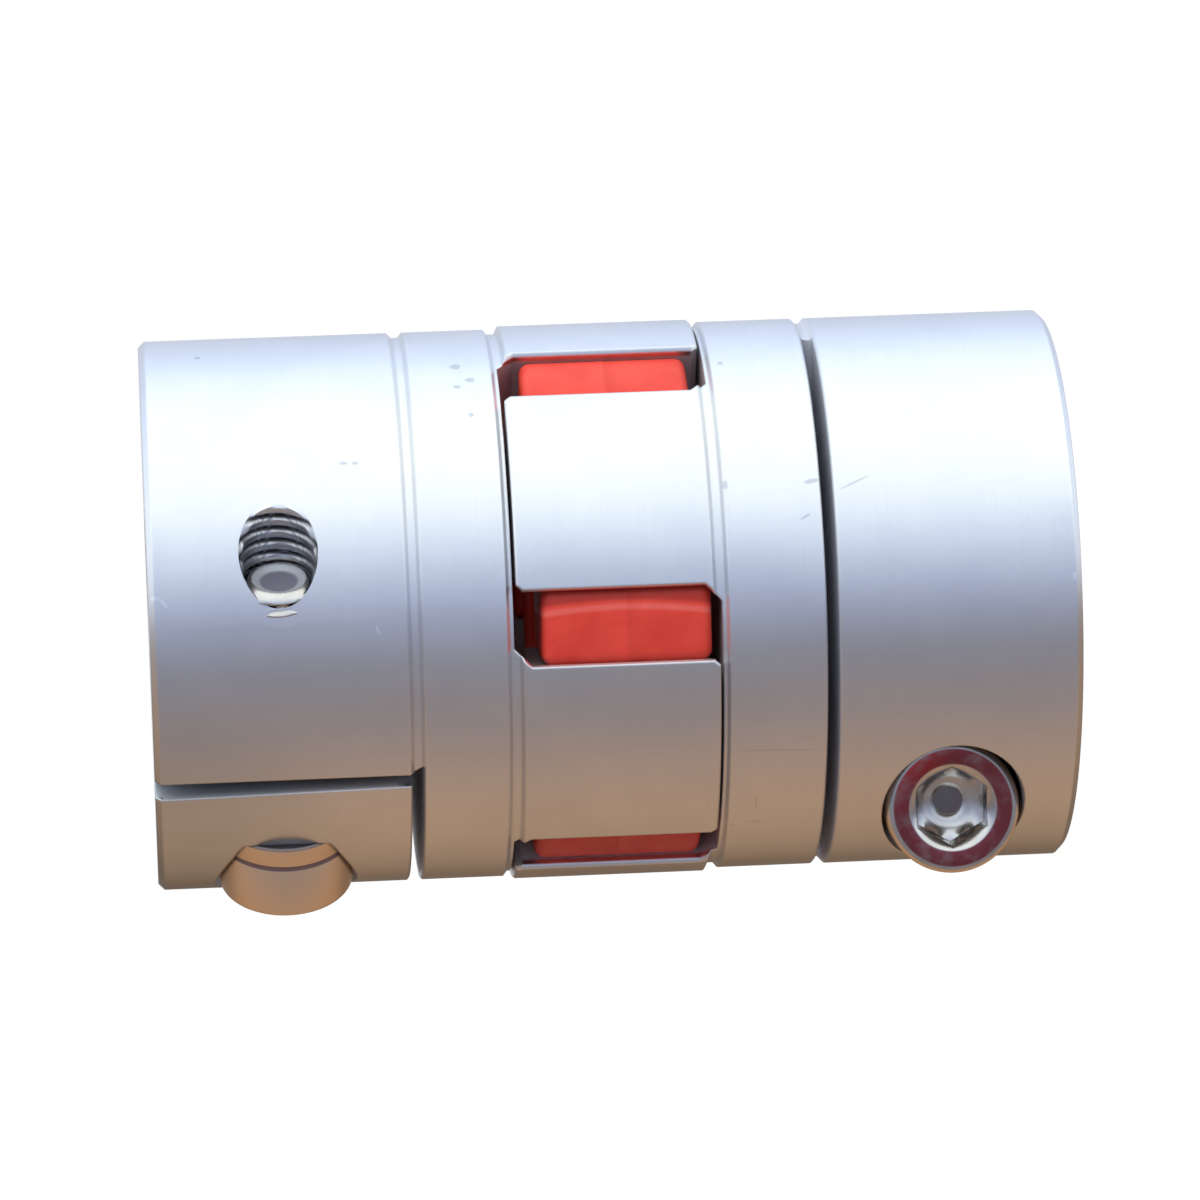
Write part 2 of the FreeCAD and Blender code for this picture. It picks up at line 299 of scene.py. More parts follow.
def thread_rings(count):
    """Rings of the threaded shank, from just above the tip to where the thread runs out."""
    steps = 10
    levels = int(THREAD_LENGTH / PITCH * steps)
    rings = []
    for j in range(1, levels + 1):
        up = PITCH * j / steps
        taper = between(up, TIP_EDGE)
        runout = max(0.0, min(1.0, (levels - j) / steps))
        ring = []
        for k in range(count):
            a = 2 * math.pi * k / count
            crest = thread_form(j / steps - k / count - THREAD_START)
            depth = (SCREW_R - SCREW_ROOT_R) * (1 - crest) * runout
            r = min(SCREW_R - depth, taper)
            ring.append((r * math.cos(a), r * math.sin(a), -SCREW_LENGTH + up))
        rings.append(ring)
    return rings


def head_rings(count):
    """Rings of the head, from its foot over the groove and the round of its edge."""
    rings = [circle(HEAD_R - HEAD_FOOT, 0.0, count), circle(HEAD_R, HEAD_FOOT, count)]
    for level, depth in zip(HEAD_GROOVE, (0.0, HEAD_GROOVE_DEPTH, HEAD_GROOVE_DEPTH, 0.0)):
        rings.append(circle(HEAD_R - depth, level, count))
    steps = 8
    for j in range(steps + 1):
        a = math.pi / 2 * j / steps
        r = HEAD_R - HEAD_EDGE * (1 - math.cos(a))
        rings.append(circle(r, HEAD_HEIGHT - HEAD_EDGE * (1 - math.sin(a)), count))
    return rings


def key_rings(count):
    """Rings of the hexagon socket, from its broken edge to the middle of its floor."""
    mouth_r = KEY_FLATS / math.sqrt(3) + KEY_EDGE
    rim, drop = KEY_RIM
    rings = [circle(mouth_r + rim, HEAD_HEIGHT, count), circle(mouth_r, HEAD_HEIGHT - drop, count)]
    hexagon = []
    for k in range(count):
        a = 2 * math.pi * k / count
        off = (a + math.pi / 6) % (math.pi / 3) - math.pi / 6
        hexagon.append((KEY_FLATS / 2 / math.cos(math.pi / 6 - abs(off)), a))
    floor = HEAD_HEIGHT - KEY_DEPTH
    for bottom in (False, True):
        ring = []
        for r, a in hexagon:
            z = floor if bottom else HEAD_HEIGHT - (mouth_r - r)
            ring.append((r * math.cos(a), r * math.sin(a), z))
        rings.append(ring)
    return rings + [circle(r, floor - down, count) for r, down in KEY_FLOOR]


def screw_rings():
    """Rings of the whole screw, from the tip over the shank and head down to the socket's floor."""
    count = ROUND_STEPS
    rings = [circle(r, -SCREW_LENGTH - rise, count) for r, rise in TIP_END]
    rings += thread_rings(count)
    rings += [circle(SCREW_R, -NECK, count), circle(SCREW_R, 0.0, count)]
    return rings + head_rings(count) + key_rings(count)


def make_screw(name, node, upper):
    """A socket-head screw with a rolled thread, in place of the plain solid."""
    vertices, faces = skin(screw_rings())
    piece = new_piece(name, vertices, faces, screw_place(upper))
    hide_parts(node)
    return piece


def hub_surface(x, rise=0.0):
    """Where the hub's outside lies on the tapped hole's side of the clamp, at distance x."""
    return -math.sqrt((HUB_R + rise) ** 2 - x ** 2)


def hole_row(a, deep, levels):
    """One row of the tapped hole as (radius, place along it) pairs: ridges, mouth, flush rim, back."""
    reach = math.cos(a)
    lip = HOLE_LIP[0] + (HOLE_LIP[1] - HOLE_LIP[0]) * max(0.0, reach) ** 2
    end = hub_surface(SCREW_OUT + lip * reach, MOUTH_RISE)
    calm = 1 - max(0.0, -reach) ** 4
    row = []
    for j in range(levels):
        t = deep + (end - deep) * j / levels
        around = 2 * math.pi * (t / PITCH + HOLE_START) + a
        root = (0.5 + 0.5 * math.cos(around)) ** 3
        ridge = HOLE_CREST_R + (HOLE_ROOT_R - HOLE_CREST_R) * root
        share = 1 - calm * (1 - min(1.0, (t - end) / HOLE_RUNOUT))
        row.append((lip + (ridge - lip) * share, t))
    for j in range(MOUTH_STEPS + 1):
        r = lip + (MOUTH_R - lip) * j / MOUTH_STEPS
        row.append((r, hub_surface(SCREW_OUT + r * reach, MOUTH_RISE)))
    for r in (MOUTH_R, HOLE_WALL_R):
        row.append((r, hub_surface(SCREW_OUT + r * reach, -MOUTH_SINK)))
    row.append((HOLE_WALL_R, deep))
    return row


def make_hole_thread(name, upper):
    """The ridges of the tapped hole, with a rim that ends flush with the outside of the hub."""
    count = 144
    levels = HOLE_STEPS * int(HOLE_DEPTH / PITCH)
    deep = hub_surface(SCREW_OUT) + HOLE_DEPTH
    turns = [2 * math.pi * k / count for k in range(count)]
    rows = [hole_row(a, deep, levels) for a in turns]
    rings = []
    for level in range(len(rows[0])):
        ring = []
        for a, row in zip(turns, rows):
            r, t = row[level]
            ring.append((SCREW_OUT + r * math.cos(a), t, r * math.sin(a)))
        rings.append(ring)
    vertices, faces = skin(rings, closed_loop=True)
    height = UPPER_SCREW if upper else LOWER_SCREW
    place = clamp_place(upper) @ Matrix.Translation((0, 0, height))
    return new_piece(name, vertices, faces, place, sharp=18.0)


def flank_half(x):
    """Half the leg's thickness at distance x from the axis."""
    return LEG_HALF - FLANK_R + math.sqrt(FLANK_R ** 2 - (x - CROWN_AT) ** 2)


def leg_core():
    """Outline of a leg, inset by its edge rounding, as (point, direction of its normal) pairs."""
    inner = (WEB_HOLE_R + WEB_R) / 2 + LEG_ROUND
    outer_r = LEG_R - LEG_ROUND
    steps = 14
    low, high = [], []
    end_x = inner
    while math.hypot(end_x, flank_half(end_x) - LEG_ROUND) < outer_r:
        end_x += CORNER_STEP
    for j in range(steps + 1):
        x = inner + (end_x - inner) * j / steps
        half = flank_half(x) - LEG_ROUND
        lean = math.asin((x - CROWN_AT) / FLANK_R)
        low.append(((x, -half), -math.pi / 2 + lean))
        high.append(((x, half), math.pi / 2 - lean))
    half = flank_half(end_x) - LEG_ROUND
    span = math.atan2(half, end_x)
    outer = []
    for j in range(steps + 1):
        a = -span + 2 * span * j / steps
        outer.append(((outer_r * math.cos(a), outer_r * math.sin(a)), a))
    corner = 5
    points = list(low)
    for j in range(1, corner):
        points.append((low[-1][0], low[-1][1] + (outer[0][1] - low[-1][1]) * j / corner))
    points += outer
    for j in range(1, corner):
        points.append((outer[-1][0], outer[-1][1] + (high[-1][1] - outer[-1][1]) * j / corner))
    points += list(reversed(high))
    for j in range(1, corner + 1):
        points.append((high[0][0], high[0][1] + (math.pi - high[0][1]) * j / corner))
    for j in range(0, corner):
        points.append((low[0][0], math.pi + (low[0][1] + math.pi) * j / corner))
    return points


def leg_rings():
    """Rings of a leg from its lower end to its upper end, with round edges and the mould line."""
    core = leg_core()
    half = LEG_LENGTH / 2 - LEG_ROUND
    levels = []
    edge = 7
    for j in range(edge + 1):
        b = math.pi / 2 * (1 - j / edge)
        levels.append((-half - LEG_ROUND * math.sin(b), LEG_ROUND * math.cos(b)))
    for z in (-half * 0.6, -half * 0.25, -SEAM_HALF):
        levels.append((z, LEG_ROUND))
    levels.append((-SEAM_HALF * 0.35, LEG_ROUND + SEAM_HEIGHT))
    levels += [(-z, d) for z, d in reversed(levels)]
    return [[(p[0] + d * math.cos(n), p[1] + d * math.sin(n), z) for p, n in core] for z, d in levels]


def make_web():
    """The ring in the middle of the elastic star, with bevelled edges."""
    outer, inner = WEB_R - WEB_EDGE, WEB_HOLE_R + WEB_EDGE
    top = WEB_LENGTH / 2
    low = top - WEB_EDGE
    outline = ((WEB_R, -low), (WEB_R, low), (outer, top), (inner, top),
               (WEB_HOLE_R, low), (WEB_HOLE_R, -low), (inner, -top), (outer, -top))
    vertices, faces = skin([circle(r, z, ROUND_STEPS) for r, z in outline], closed_loop=True)
    return new_piece("spider_skin", vertices, faces, Matrix.Translation((0, 0, SPIDER_MIDDLE)))


def make_spider():
    """The elastic star: a ring with six rounded legs, joined to one skin."""
    parts = []
    rings = leg_rings()
    vertices, faces = skin(rings)
    count = len(rings[0])
    faces.append(tuple(range(count)))
    faces.append(tuple(reversed(range(len(vertices) - count, len(vertices)))))
    for k in range(2 * JAW_COUNT):
        turn = Matrix.Rotation(math.radians(LOWER_TURN + (k + 0.5) * 180 / JAW_COUNT), 4, "Z")
        drop = FRONT_LEG_DROP if k == FRONT_LEG else 0.0
        place = Matrix.Translation((0, 0, SPIDER_MIDDLE - drop)) @ turn
        parts.append(new_piece("leg_%d" % k, vertices, faces, place))
    body = make_web()
    for part in parts:
        join = body.modifiers.new(part.name, "BOOLEAN")
        join.operation = "UNION"
        join.solver = "EXACT"
        join.object = part
    bake_modifiers(body)
    for part in parts:
        bpy.data.objects.remove(part)
    smooth_by_angle(body.data, 40.0)
    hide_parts("spider")
    return body


def bake_modifiers(piece):
    """Writes the modifiers' result into the piece's own mesh."""
    graph = bpy.context.evaluated_depsgraph_get()
    mesh = bpy.data.meshes.new_from_object(piece.evaluated_get(graph))
    piece.modifiers.clear()
    piece.data = mesh


class Shader:
    """A small helper that adds nodes and links to one node tree."""

    def __init__(self, tree):
        self.tree = tree
        tree.nodes.clear()

    def add(self, kind, inputs=None, **settings):
        """A node with settings as attributes and inputs by name or index, either values or sockets."""
        node = self.tree.nodes.new("ShaderNode" + kind)
        for key, value in settings.items():
            setattr(node, key, value)
        for key, value in (inputs or {}).items():
            socket = node.inputs[key]
            if isinstance(value, bpy.types.NodeSocket):
                self.tree.links.new(value, socket)
            else:
                socket.default_value = value
        return node

    def math(self, operation, a, b=0.0):
        """The result of a Math node."""
        return self.add("Math", {0: a, 1: b}, operation=operation).outputs[0]

    def times(self, product, *others):
        """The product of values."""
        for other in others:
            product = self.math("MULTIPLY", product, other)
        return product

    def plus(self, total, *others):
        """The sum of values."""
        for other in others:
            total = self.math("ADD", total, other)
        return total

    def minus(self, a, b):
        """The first value less the second."""
        return self.math("SUBTRACT", a, b)

    def span(self, value, low, high, to_low=0.0, to_high=1.0):
        """The value eased from one range to another and kept inside it."""
        inputs = {"Value": value, "From Min": low, "From Max": high, "To Min": to_low, "To Max": to_high}
        return self.add("MapRange", inputs, interpolation_type="SMOOTHSTEP").outputs["Result"]

    def mix(self, share, a, b):
        """The mix of two colours."""
        node = self.add("Mix", data_type="RGBA")
        for key, value in ((0, share), (6, a), (7, b)):
            if isinstance(value, bpy.types.NodeSocket):
                self.tree.links.new(value, node.inputs[key])
            else:
                node.inputs[key].default_value = value
        return node.outputs[2]

    def noise(self, vector, scale, detail, roughness):
        """The value of a 3D noise."""
        inputs = {"Vector": vector, "Scale": scale, "Detail": detail, "Roughness": roughness}
        return self.add("TexNoise", inputs).outputs["Fac"]

    def vector(self, x, y, z):
        """A vector from three values."""
        return self.add("CombineXYZ", {0: x, 1: y, 2: z}).outputs[0]


def grey(value):
    """An RGBA grey."""
    return (value, value, value, 1.0)


def new_look(name):
    """A material without nodes, and the helper that fills it."""
    material = bpy.data.materials.new(name)
    material.use_nodes = True
    return material, Shader(material.node_tree)


def object_millimetres(s):
    """Object coordinates in millimetres, and their parts."""
    where = s.add("TexCoord").outputs["Object"]
    scaled = s.add("VectorMath", {0: where, 3: 1 / MM}, operation="SCALE").outputs[0]
    parts = s.add("SeparateXYZ", {0: scaled})
    return scaled, parts.outputs[0], parts.outputs[1], parts.outputs[2]


def edge_mask(s, radius):
    """The rounded normal, and 1 at sharp edges and 0 on faces."""
    soft = s.add("Bevel", {"Radius": radius * MM}, samples=6).outputs[0]
    hard = s.add("NewGeometry").outputs["Normal"]
    dot = s.add("VectorMath", {0: soft, 1: hard}, operation="DOT_PRODUCT").outputs["Value"]
    return soft, s.span(s.minus(1.0, dot), 0.02, 0.25)


def from_axis(s, place, here):
    """Offset from the origin of a piece's own frame, distance along its Z axis and distance from it."""
    axis = (here.to_3x3() @ Vector((0, 0, 1))).normalized()
    origin = tuple(here @ Vector((0, 0, 0)))
    offset = s.add("VectorMath", {0: place, 1: origin}, operation="SUBTRACT").outputs[0]
    along = s.add("VectorMath", {0: offset, 1: tuple(axis)}, operation="DOT_PRODUCT").outputs["Value"]
    reach = s.add("VectorMath", {0: offset}, operation="LENGTH").outputs["Value"]
    square = s.minus(s.times(reach, reach), s.times(along, along))
    return offset, along, s.math("SQRT", square)


def marks(s, turn, z, ragged, places):
    """1 in small ragged marks on the outside: direction, height, half sizes round and along, slant."""
    found = 0.0
    for degrees, height, half_round, half_along, slant in places:
        rise = s.minus(z, height)
        aside = s.minus(turn, math.radians(degrees))
        aside = s.minus(aside, s.times(rise, math.radians(slant)))
        aside = s.times(aside, HUB_R / half_round)
        along = s.math("DIVIDE", rise, half_along)
        far = s.plus(s.times(aside, aside), s.times(along, along))
        found = s.math("MAXIMUM", found, s.span(s.plus(far, ragged), 1.5, 0.5))
    return found


def turned_lines(s, radius, turn, z):
    """Coarse and fine turning lines round the axis."""
    lines = s.vector(s.times(radius, 4.0), s.times(turn, 0.9), s.times(z, 4.0))
    return s.noise(lines, 1.0, 3.0, 0.6), s.noise(lines, 3.7, 2.0, 0.5)


def anodised_tone(s, place, turn, z, coarse):
    """Colour of the hub's outside, with its specks, smudges, faint lines and nicks."""
    cloud = s.noise(place, 0.16, 3.0, 0.55)
    speck = s.noise(place, 2.6, 4.0, 0.7)
    ragged = s.times(s.minus(s.noise(place, 6.0, 3.0, 0.6), 0.5), 2.4)
    tone = s.mix(s.span(cloud, 0.3, 0.7), HUB_TONES["dark"], HUB_TONES["light"])
    tone = s.mix(s.span(coarse, 0.35, 0.75, 0.0, 0.2), tone, HUB_TONES["line"])
    tone = s.mix(s.span(speck, 0.66, 0.74, 0.0, 0.2), tone, HUB_TONES["speck"])
    for places, share, colour in MARKS:
        tone = s.mix(s.times(marks(s, turn, z, ragged, places), share), tone, HUB_TONES[colour])
    return tone


def cut_look(s, radius, turn, z, tone, rough):
    """Tone, roughness, metal and normal of a hub, with painted shade in its cuts and paler worn edges.
    """
    soft, worn = edge_mask(s, 0.22)
    middle = s.math("ABSOLUTE", s.minus(z, END_FACE))
    clamps = s.span(middle, CLAMP_ZONE, CLAMP_ZONE + 0.2)
    clamps = s.times(clamps, s.span(middle, END_FACE - 0.5, END_FACE - 0.6))
    jaws = s.span(middle, JAW_ZONE, JAW_ZONE - 0.6)
    cross = s.span(s.math("ABSOLUTE", s.minus(middle, CROSS_CUT)), 1.1, 0.95)
    milled = s.times(clamps, s.span(radius, SKIN_R, SKIN_R - 0.07))
    cut = s.math("MAXIMUM", s.span(radius, SUNK_R, SUNK_R - 0.3), milled)
    cut = s.times(cut, s.span(radius, BORE_R + 0.1, BORE_R + 0.4))
    cut = s.times(cut, s.span(middle, END_FACE - 0.02, END_FACE - 0.08))
    # painted shade in the cuts: grey at their rim, nearly black deep in, mid grey on the jaws' sides,
    # close to the hub's own tone in the cross cut
    depth = s.mix(s.span(radius, SUNK_R, SUNK_R - 2.0), HUB_TONES["cut_edge_shade"], HUB_TONES["cut_deep_shade"])
    depth = s.mix(jaws, depth, HUB_TONES["jaw_side_shade"])
    depth = s.mix(cross, depth, HUB_TONES["cross_cut"])
    tone = s.mix(s.times(cut, 0.92), tone, depth)
    tone = s.mix(s.times(worn, 0.4), tone, HUB_TONES["worn"])
    metal = s.minus(1.0, s.times(cut, s.minus(0.7, s.times(cross, 0.5))))
    below = s.span(turn, math.radians(FILM_BELOW[0]), math.radians(FILM_BELOW[1]))
    behind = s.span(turn, math.radians(FILM_BEHIND[0]), math.radians(FILM_BEHIND[1]))
    film = s.times(s.span(z, *FILM_HEIGHTS), s.math("MAXIMUM", below, behind))
    tone = s.mix(s.times(film, 0.35), tone, HUB_TONES["film"])
    rough = s.plus(s.minus(rough, s.times(worn, 0.08)), s.times(cut, 0.2))
    return tone, rough, metal, soft


def hole_shade_tone(s, place, radius, hole, tone):
    """Colour of a tapped hole's lining, with painted shade inside and darker painted shade in the roots.
    """
    _, _, out = from_axis(s, place, hole)
    # painted shade inside the hole, darkest in the thread's roots
    deep = s.times(s.span(radius, SKIN_R, SKIN_R - 0.12), s.span(out, 2.58, 2.82))
    inside = s.span(radius, SKIN_R - 0.02, SUNK_R)
    tone = s.mix(s.times(inside, 0.6), tone, HUB_TONES["hole"])
    return s.mix(s.times(deep, 0.85), tone, HUB_TONES["hole_root_shade"])


def hub_material(name, hole=None):
    """Satin anodised aluminium with turning lines round the axis. With a hole's place it is the look of
    that hole's thread and rim."""
    material, s = new_look(name)
    place, x, y, z = object_millimetres(s)
    radius = s.math("SQRT", s.plus(s.times(x, x), s.times(y, y)))
    turn = s.math("ARCTAN2", y, x)
    coarse, fine = turned_lines(s, radius, turn, z)
    tone = anodised_tone(s, place, turn, z, coarse)
    rough = s.plus(0.28, s.times(coarse, 0.08), s.times(fine, 0.05))
    height = s.plus(s.times(coarse, 0.6), s.times(fine, 0.4))
    bump = s.add("Bump", {"Strength": 0.07, "Distance": 0.012 * MM, "Height": height})
    metal = 1.0
    if hole is None:
        tone, rough, metal, soft = cut_look(s, radius, turn, z, tone, rough)
        s.tree.links.new(soft, bump.inputs["Normal"])
    else:
        tone = hole_shade_tone(s, place, radius, hole, tone)
    tangent = s.add("Tangent", direction_type="RADIAL", axis="Z")
    body = s.add("BsdfPrincipled", {"Base Color": tone, "Roughness": rough, "Metallic": metal,
                                    "Anisotropic": 0.4, "Anisotropic Rotation": 0.25,
                                    "Normal": bump.outputs[0], "Tangent": tangent.outputs[0]})
    s.add("OutputMaterial", {0: body.outputs[0]})
    return material


def spider_material():
    """Red moulded polyurethane, semi-matt with a fine skin, with a painted highlight along the front
    leg's upper edge and painted shadow on the leg past it.
    """
    material, s = new_look("spider_elastomer_look")
    place, x, y, z = object_millimetres(s)
    cloud = s.noise(place, 0.35, 3.0, 0.6)
    grain = s.noise(place, 5.0, 3.0, 0.6)
    soft, worn = edge_mask(s, 0.25)
    tone = s.mix(s.span(cloud, 0.3, 0.7), SPIDER_TONES["dark"], SPIDER_TONES["light"])
    tone = s.mix(s.times(worn, 0.35), tone, SPIDER_TONES["worn"])
    # a painted highlight band along the front leg's upper rounded edge
    turn = s.math("ARCTAN2", y, x)
    rise = s.math("DIVIDE", s.minus(z, SPIDER_MIDDLE), LEG_LENGTH / 2)
    level = s.plus(turn, s.times(rise, rise, HIGHLIGHT_BOW))
    highlight_band = s.math("ABSOLUTE", s.minus(level, math.radians(HIGHLIGHT_AT)))
    tone = s.mix(s.span(highlight_band, *HIGHLIGHT_HALF, 0.0, 0.55), tone, SPIDER_TONES["highlight_band"])
    # painted shadow on the front leg past the highlight band, towards its top
    edge = s.span(level, math.radians(SHADOW_AT[0]), math.radians(SHADOW_AT[1]))
    painted_shadow = s.times(edge, s.span(turn, -1.2, -1.3))
    tone = s.mix(s.times(painted_shadow, 0.6), tone, SPIDER_TONES["painted_shadow"])
    rough = s.plus(0.38, s.times(grain, 0.16))
    bump = s.add("Bump", {"Strength": 0.25, "Distance": 0.02 * MM, "Height": grain, "Normal": soft})
    body = s.add("BsdfPrincipled", {"Base Color": tone, "Roughness": rough, "Normal": bump.outputs[0],
                                    "Specular IOR Level": 0.45, "Subsurface Weight": 0.08,
                                    "Subsurface Scale": 0.4 * MM})
    body.inputs["Subsurface Radius"].default_value = (1.0, 0.25, 0.15)
    s.add("OutputMaterial", {0: body.outputs[0]})
    return material


def head_tone(s, tone, offset, along, out, cloud):
    """Colours of the screw's head: tinted face, warm side, painted shadow at the foot and on the
    underside, and painted shade at the end of the socket. Also gives the mask of the head's side."""
    aim = Vector(RED_SIDE) / HEAD_R
    side = s.add("VectorMath", {0: offset, 1: tuple(aim)}, operation="DOT_PRODUCT").outputs["Value"]
    face = s.span(along, HEAD_HEIGHT - 0.08, HEAD_HEIGHT - 0.03)
    ring = s.times(s.span(out, *FACE_RING_IN), s.span(out, *FACE_RING_OUT))
    tint = s.times(face, ring, s.span(cloud, 0.2, 0.6, 0.6, 0.95))
    shade = s.span(s.plus(s.times(side, 0.9), s.times(cloud, 0.4)), 0.5, 1.0)
    tone = s.mix(tint, tone, s.mix(shade, STEEL_TONES["tint"], STEEL_TONES["tint_red"]))
    # painted shade at the deep end of the socket
    socket_shade = s.times(s.span(out, *SOCKET_END_SHADE), s.span(along, HEAD_HEIGHT - 3.0, HEAD_HEIGHT - 3.1))
    socket_shade = s.times(socket_shade, s.span(along, 0.5, 1.0))
    tone = s.mix(s.times(socket_shade, 0.8), tone, STEEL_TONES["socket_shade"])
    flank = s.times(s.span(out, *HEAD_SIDE), s.span(along, 0.0, 0.05))
    tone = s.mix(flank, tone, STEEL_TONES["flank"])
    # painted shadow at the head's foot and on its underside, where it meets the seat
    foot = s.times(s.span(along, 0.22, 0.15), s.span(out, HEAD_R - 0.3, HEAD_R - 0.2))
    tone = s.mix(s.times(foot, 0.8), tone, STEEL_TONES["foot"])
    under = s.times(s.span(along, 0.06, 0.02), s.span(out, 3.05, 3.2))
    tone = s.mix(s.times(under, 0.85), tone, STEEL_TONES["under"])
    return tone, flank


def groove_mask(s, along, out):
    """1 in the fine groove turned in the head."""
    low, high = HEAD_GROOVE[0], HEAD_GROOVE[-1]
    groove = s.times(s.span(out, HEAD_R - 0.005, HEAD_R - 0.03), s.span(along, low - 0.03, low + 0.07))
    return s.times(groove, s.span(along, high, high - 0.1))


def screw_material(name, upper):
    """Bright worn steel, with the tinted face of the head, painted shade in the head's groove, and a
    dull tip tinted blue-grey as a painted reflection, with painted shade in its middle.
    """
    material, s = new_look(name)
    place, _, _, _ = object_millimetres(s)
    cloud = s.noise(place, 0.7, 3.0, 0.6)
    grain = s.noise(place, 6.0, 3.0, 0.6)
    soft, worn = edge_mask(s, 0.1)
    offset, along, out = from_axis(s, place, screw_place(upper))
    tone = s.mix(s.span(cloud, 0.3, 0.7), STEEL_TONES["dark"], STEEL_TONES["light"])
    tone, flank = head_tone(s, tone, offset, along, out, cloud)
    # painted shade in the fine groove round the head
    groove = groove_mask(s, along, out)
    tone = s.mix(s.times(groove, 0.9), tone, STEEL_TONES["groove"])
    tone = s.mix(s.times(worn, 0.5), tone, STEEL_TONES["worn"])
    key = s.times(s.span(out, *SOCKET), s.span(along, HEAD_HEIGHT - 3.3, HEAD_HEIGHT - 3.1))
    tip = s.span(along, -SCREW_LENGTH + 0.6, -SCREW_LENGTH + 0.3)
    # the tip's face is dull, rougher and less metallic, and tinted blue-grey as a painted reflection;
    # its middle is darkened as painted shade
    dull = s.times(tip, s.span(out, *TIP_FACE))
    tone = s.mix(s.times(dull, 0.7), tone, STEEL_TONES["tip"])
    tone = s.mix(s.times(tip, s.span(out, *TIP_MIDDLE_SHADE)), tone, STEEL_TONES["tip_middle_shade"])
    rough = s.plus(0.18, s.times(grain, 0.14), s.times(flank, 0.18), s.times(groove, 0.25))
    rough = s.minus(s.plus(rough, s.times(dull, 0.15)), s.times(key, 0.08))
    metal = s.minus(1.0, s.times(dull, 0.6))
    bump = s.add("Bump", {"Strength": 0.12, "Distance": 0.01 * MM, "Height": grain, "Normal": soft})
    body = s.add("BsdfPrincipled", {"Base Color": tone, "Roughness": rough, "Metallic": metal,
                                    "Normal": bump.outputs[0]})
    s.add("OutputMaterial", {0: body.outputs[0]})
    return material


def dress(piece, material, slot=None):
    """Gives a piece its material, and attaches it to the root body when a slot is passed, as for pieces
    that aren't CAD nodes; the slot's name itself isn't used.
    """
    piece.data.materials.clear()
    piece.data.materials.append(material)
    if slot:
        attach(piece, "root")


def make_floor():
    """A plain white floor under the coupling that keeps a soft shadow and is clear to reflections."""
    half = 3000.0 * MM
    mesh = bpy.data.meshes.new("floor")
    corners = [(-half, -half, 0), (half, -half, 0), (half, half, 0), (-half, half, 0)]
    mesh.from_pydata(corners, [], [(0, 1, 2, 3)])
    floor = bpy.data.objects.new("floor", mesh)
    bpy.context.scene.collection.objects.link(floor)
    material, s = new_look("floor_white")
    path = s.add("LightPath")
    matt = s.add("BsdfDiffuse", {"Color": (0.62, 0.60, 0.58, 1)})
    trace = s.add("BsdfDiffuse", {"Color": grey(0.10)})
    white = s.add("Emission", {"Color": grey(1.0), "Strength": 0.97})
    shown = s.add("AddShader", {0: trace.outputs[0], 1: white.outputs[0]})
    clear = s.add("BsdfTransparent")
    mirrored = s.math("MAXIMUM", path.outputs["Is Glossy Ray"], path.outputs["Is Transmission Ray"])
    room = s.add("MixShader", {0: mirrored, 1: matt.outputs[0], 2: clear.outputs[0]})
    out = s.add("MixShader", {0: path.outputs["Is Camera Ray"], 1: room.outputs[0], 2: shown.outputs[0]})
    s.add("OutputMaterial", {0: out.outputs[0]})
    mesh.materials.append(material)


def make_world():
    """White to the camera. Reflections and fill light see a plain room, dimmer below for fill light."""
    world = bpy.data.worlds.new("studio")
    bpy.context.scene.world = world
    world.use_nodes = True
    s = Shader(world.node_tree)
    parts = s.add("SeparateXYZ", {0: s.add("TexCoord").outputs["Generated"]})
    up = parts.outputs[0]
    front = s.times(parts.outputs[1], -1.0)
    turn = s.math("DIVIDE", s.math("ARCTAN2", up, front), 2 * math.pi)
    ramp = s.add("ValToRGB", {0: s.plus(turn, 0.5)})
    stops = ramp.color_ramp.elements
    while len(stops) < len(ROOM):
        stops.new(0.5)
    for stop, (angle, colour) in zip(stops, ROOM):
        stop.position = angle / 360 + 0.5
        stop.color = (*colour, 1)
    path = s.add("LightPath")
    dim = s.times(path.outputs["Is Diffuse Ray"], s.span(up, 0.0, -0.6, 0.0, 0.65))
    room = s.add("Background", {0: ramp.outputs[0], 1: s.minus(1.0, dim)})
    white = s.add("Background", {0: grey(1.0), 1: 1.0})
    seen = s.math("MAXIMUM", path.outputs["Is Camera Ray"], path.outputs["Is Transmission Ray"])
    out = s.add("MixShader", {0: seen, 1: room.outputs[0], 2: white.outputs[0]})
    s.add("OutputWorld", {0: out.outputs[0]})


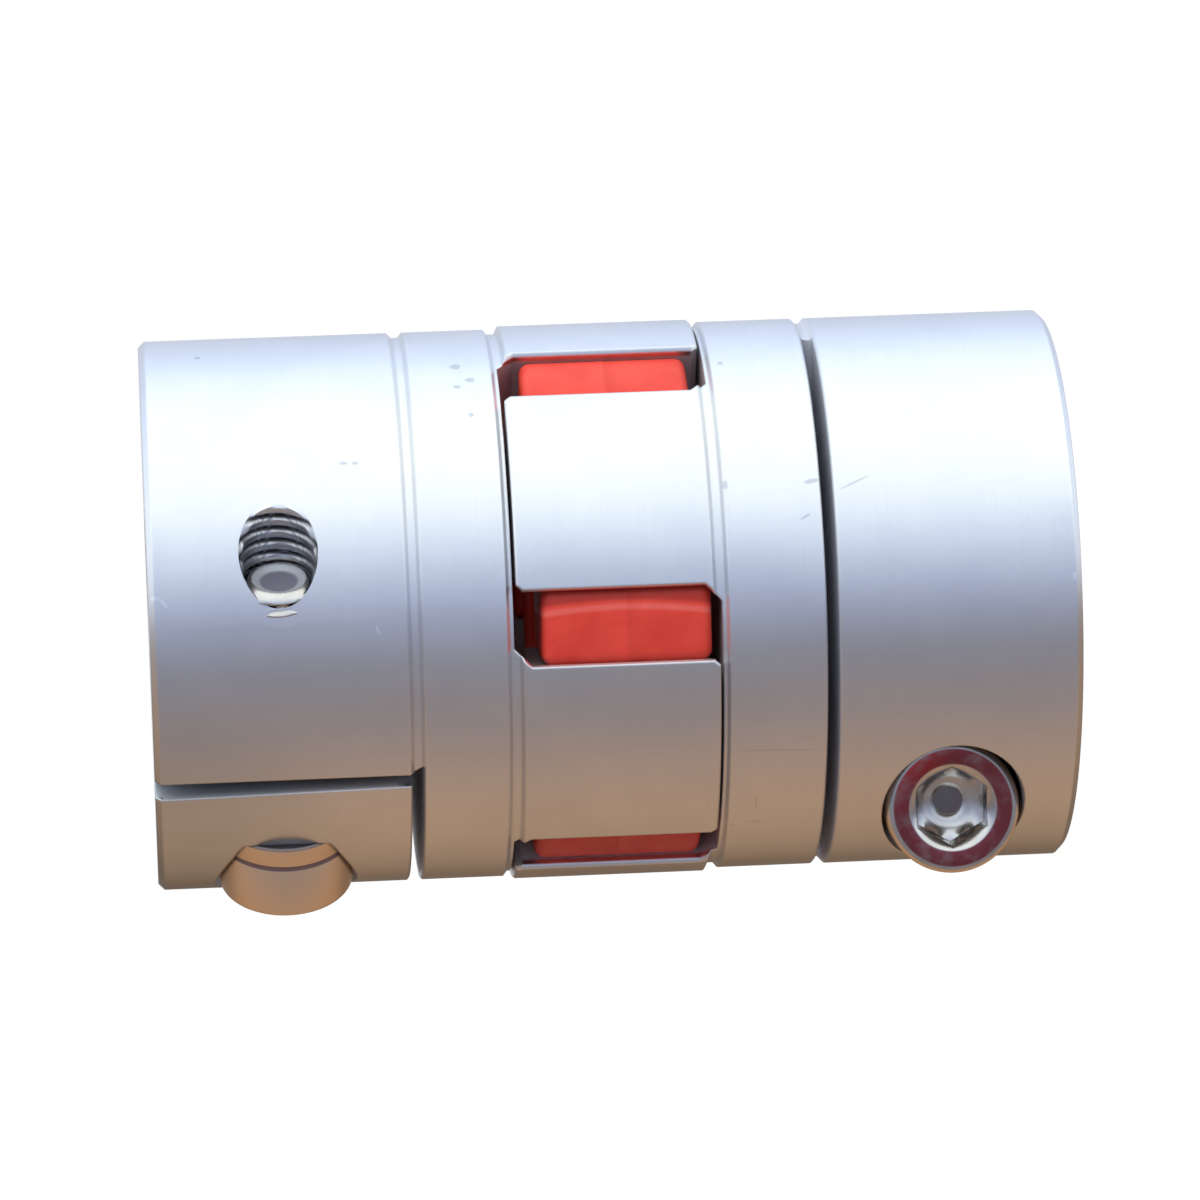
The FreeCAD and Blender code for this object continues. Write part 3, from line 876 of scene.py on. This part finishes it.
def make_lamp():
    """A soft lamp above and in front that lights the matt surfaces and isn't mirrored in the metal."""
    data = bpy.data.lights.new("lamp", "SUN")
    data.energy = LAMP_STRENGTH
    data.angle = math.radians(LAMP_SPREAD)
    lamp = bpy.data.objects.new("lamp", data)
    lamp.rotation_mode = "QUATERNION"
    lamp.rotation_quaternion = Vector(LAMP_FROM).to_track_quat("Z", "Y")
    lamp.visible_glossy = False
    bpy.context.scene.collection.objects.link(lamp)


def make_camera():
    """The camera at the photograph's viewing angle, with the coupling's axis across the picture."""
    pan, tilt, roll = (math.radians(a) for a in (CAMERA_PAN, CAMERA_TILT, CAMERA_ROLL))
    flat = math.cos(tilt)
    forward = Vector((math.sin(pan) * flat, math.cos(pan) * flat, math.sin(tilt)))
    level = Vector((math.cos(pan), -math.sin(pan), 0))
    over = level.cross(forward)
    right = to_row(math.cos(roll) * level + math.sin(roll) * over)
    up = to_row(-math.sin(roll) * level + math.cos(roll) * over)
    back = -to_row(forward)
    data = bpy.data.cameras.new("camera")
    data.sensor_width = SENSOR
    data.lens = CAMERA_LENS
    data.clip_start = 0.01
    data.clip_end = 100.0
    camera = bpy.data.objects.new("camera", data)
    camera.matrix_world = Matrix((right, up, back)).transposed().to_4x4()
    camera.location = Vector(CAMERA_AT) * MM
    bpy.context.scene.collection.objects.link(camera)
    bpy.context.scene.camera = camera


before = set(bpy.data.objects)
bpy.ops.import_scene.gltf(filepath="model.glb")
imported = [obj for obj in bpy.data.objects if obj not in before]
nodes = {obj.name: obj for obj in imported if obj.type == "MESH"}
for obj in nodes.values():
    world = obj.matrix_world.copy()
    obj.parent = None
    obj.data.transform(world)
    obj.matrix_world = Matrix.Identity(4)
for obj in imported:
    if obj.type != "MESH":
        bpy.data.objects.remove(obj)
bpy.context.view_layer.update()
bpy.context.scene.view_settings.view_transform = "Standard"

make_camera()
make_world()
make_lamp()
make_floor()

hub_look = hub_material("hub_aluminium_look")
for hub_name in ("lower_hub", "upper_hub"):
    dress(nodes[hub_name], hub_look)
dress(make_spider(), spider_material(), "spider_elastomer")
for side, is_upper in (("lower", False), ("upper", True)):
    steel = screw_material(side + "_screw_look", is_upper)
    dress(make_screw(side + "_screw_threaded", side + "_clamp_screw", is_upper), steel, "screw_steel")
    hole_look = hub_material(side + "_hole_look", screw_place(is_upper))
    dress(make_hole_thread(side + "_hole_thread", is_upper), hole_look, "hub_aluminium")
